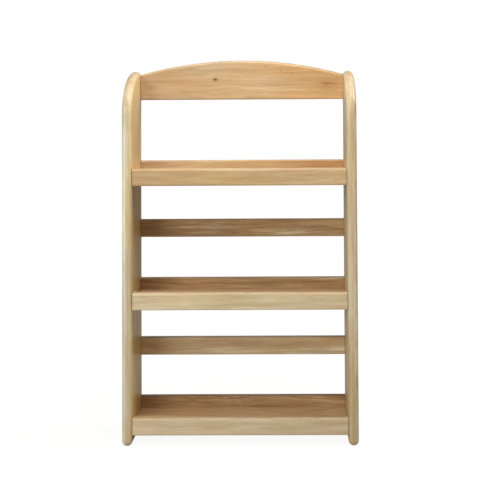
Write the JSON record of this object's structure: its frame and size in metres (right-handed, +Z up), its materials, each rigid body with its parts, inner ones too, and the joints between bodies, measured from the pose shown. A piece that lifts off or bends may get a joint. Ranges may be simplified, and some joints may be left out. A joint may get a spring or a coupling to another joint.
{
  "type": "wall spice rack",
  "caption": "Tiered wooden wall rack for spice jars: open shelves with front lips and back rails between round-shouldered side panels, under an arched top rail.",
  "frame": {"origin": "centre of the rack's footprint on the plane its side panels stand on", "axes": "+Z up, +X to the right seen from the front, +Y towards the wall, so the front faces -Y"},
  "size_m": [0.255, 0.066, 0.4178],
  "materials": {
    "side_panel_wood": "satin clear lacquer on pale rubberwood, grain upright",
    "top_rail_wood": "satin clear lacquer on honey-toned rubberwood with a pin knot",
    "shelf_wood": "satin clear lacquer, darker board",
    "front_lip_wood": "satin clear lacquer, pale, grain along the lip",
    "back_rail_wood": "satin clear lacquer, darker streaked grain along the rail",
    "dowel_wood": "raw beech, glued",
    "hanger_steel": "bright zinc plate",
    "screw_steel": "zinc plate with a yellow tint"
  },
  "bodies": {
    "root": {"arched_top_rail": "top_rail_wood", "left_hanger_screw_a": "screw_steel", "left_hanger_screw_b": "screw_steel", "left_keyhole_hanger": "hanger_steel", "left_side_panel": "side_panel_wood", "lower_back_rail_dowel_left": "dowel_wood", "lower_back_rail_dowel_right": "dowel_wood", "lower_front_lip": "front_lip_wood", "lower_jar_stop_rail": "back_rail_wood", "lower_lip_dowel_left": "dowel_wood", "lower_lip_dowel_right": "dowel_wood", "lower_shelf_back_rail": "back_rail_wood", "lower_shelf_board": "shelf_wood", "lower_shelf_dowel_left_1": "dowel_wood", "lower_shelf_dowel_left_2": "dowel_wood", "lower_shelf_dowel_right_1": "dowel_wood", "lower_shelf_dowel_right_2": "dowel_wood", "lower_stop_rail_dowel_left_1": "dowel_wood", "lower_stop_rail_dowel_left_2": "dowel_wood", "lower_stop_rail_dowel_right_1": "dowel_wood", "lower_stop_rail_dowel_right_2": "dowel_wood", "middle_back_rail_dowel_left": "dowel_wood", "middle_back_rail_dowel_right": "dowel_wood", "middle_front_lip": "front_lip_wood", "middle_jar_stop_rail": "back_rail_wood", "middle_lip_dowel_left": "dowel_wood", "middle_lip_dowel_right": "dowel_wood", "middle_shelf_back_rail": "back_rail_wood", "middle_shelf_board": "shelf_wood", "middle_shelf_dowel_left_1": "dowel_wood", "middle_shelf_dowel_left_2": "dowel_wood", "middle_shelf_dowel_right_1": "dowel_wood", "middle_shelf_dowel_right_2": "dowel_wood", "middle_stop_rail_dowel_left_1": "dowel_wood", "middle_stop_rail_dowel_left_2": "dowel_wood", "middle_stop_rail_dowel_right_1": "dowel_wood", "middle_stop_rail_dowel_right_2": "dowel_wood", "right_hanger_screw_a": "screw_steel", "right_hanger_screw_b": "screw_steel", "right_keyhole_hanger": "hanger_steel", "right_side_panel": "side_panel_wood", "top_rail_dowel_left_1": "dowel_wood", "top_rail_dowel_left_2": "dowel_wood", "top_rail_dowel_right_1": "dowel_wood", "top_rail_dowel_right_2": "dowel_wood", "upper_back_rail_dowel_left": "dowel_wood", "upper_back_rail_dowel_right": "dowel_wood", "upper_front_lip": "front_lip_wood", "upper_lip_dowel_left": "dowel_wood", "upper_lip_dowel_right": "dowel_wood", "upper_shelf_back_rail": "back_rail_wood", "upper_shelf_board": "shelf_wood", "upper_shelf_dowel_left_1": "dowel_wood", "upper_shelf_dowel_left_2": "dowel_wood", "upper_shelf_dowel_right_1": "dowel_wood", "upper_shelf_dowel_right_2": "dowel_wood"}
  },
  "joints": []
}
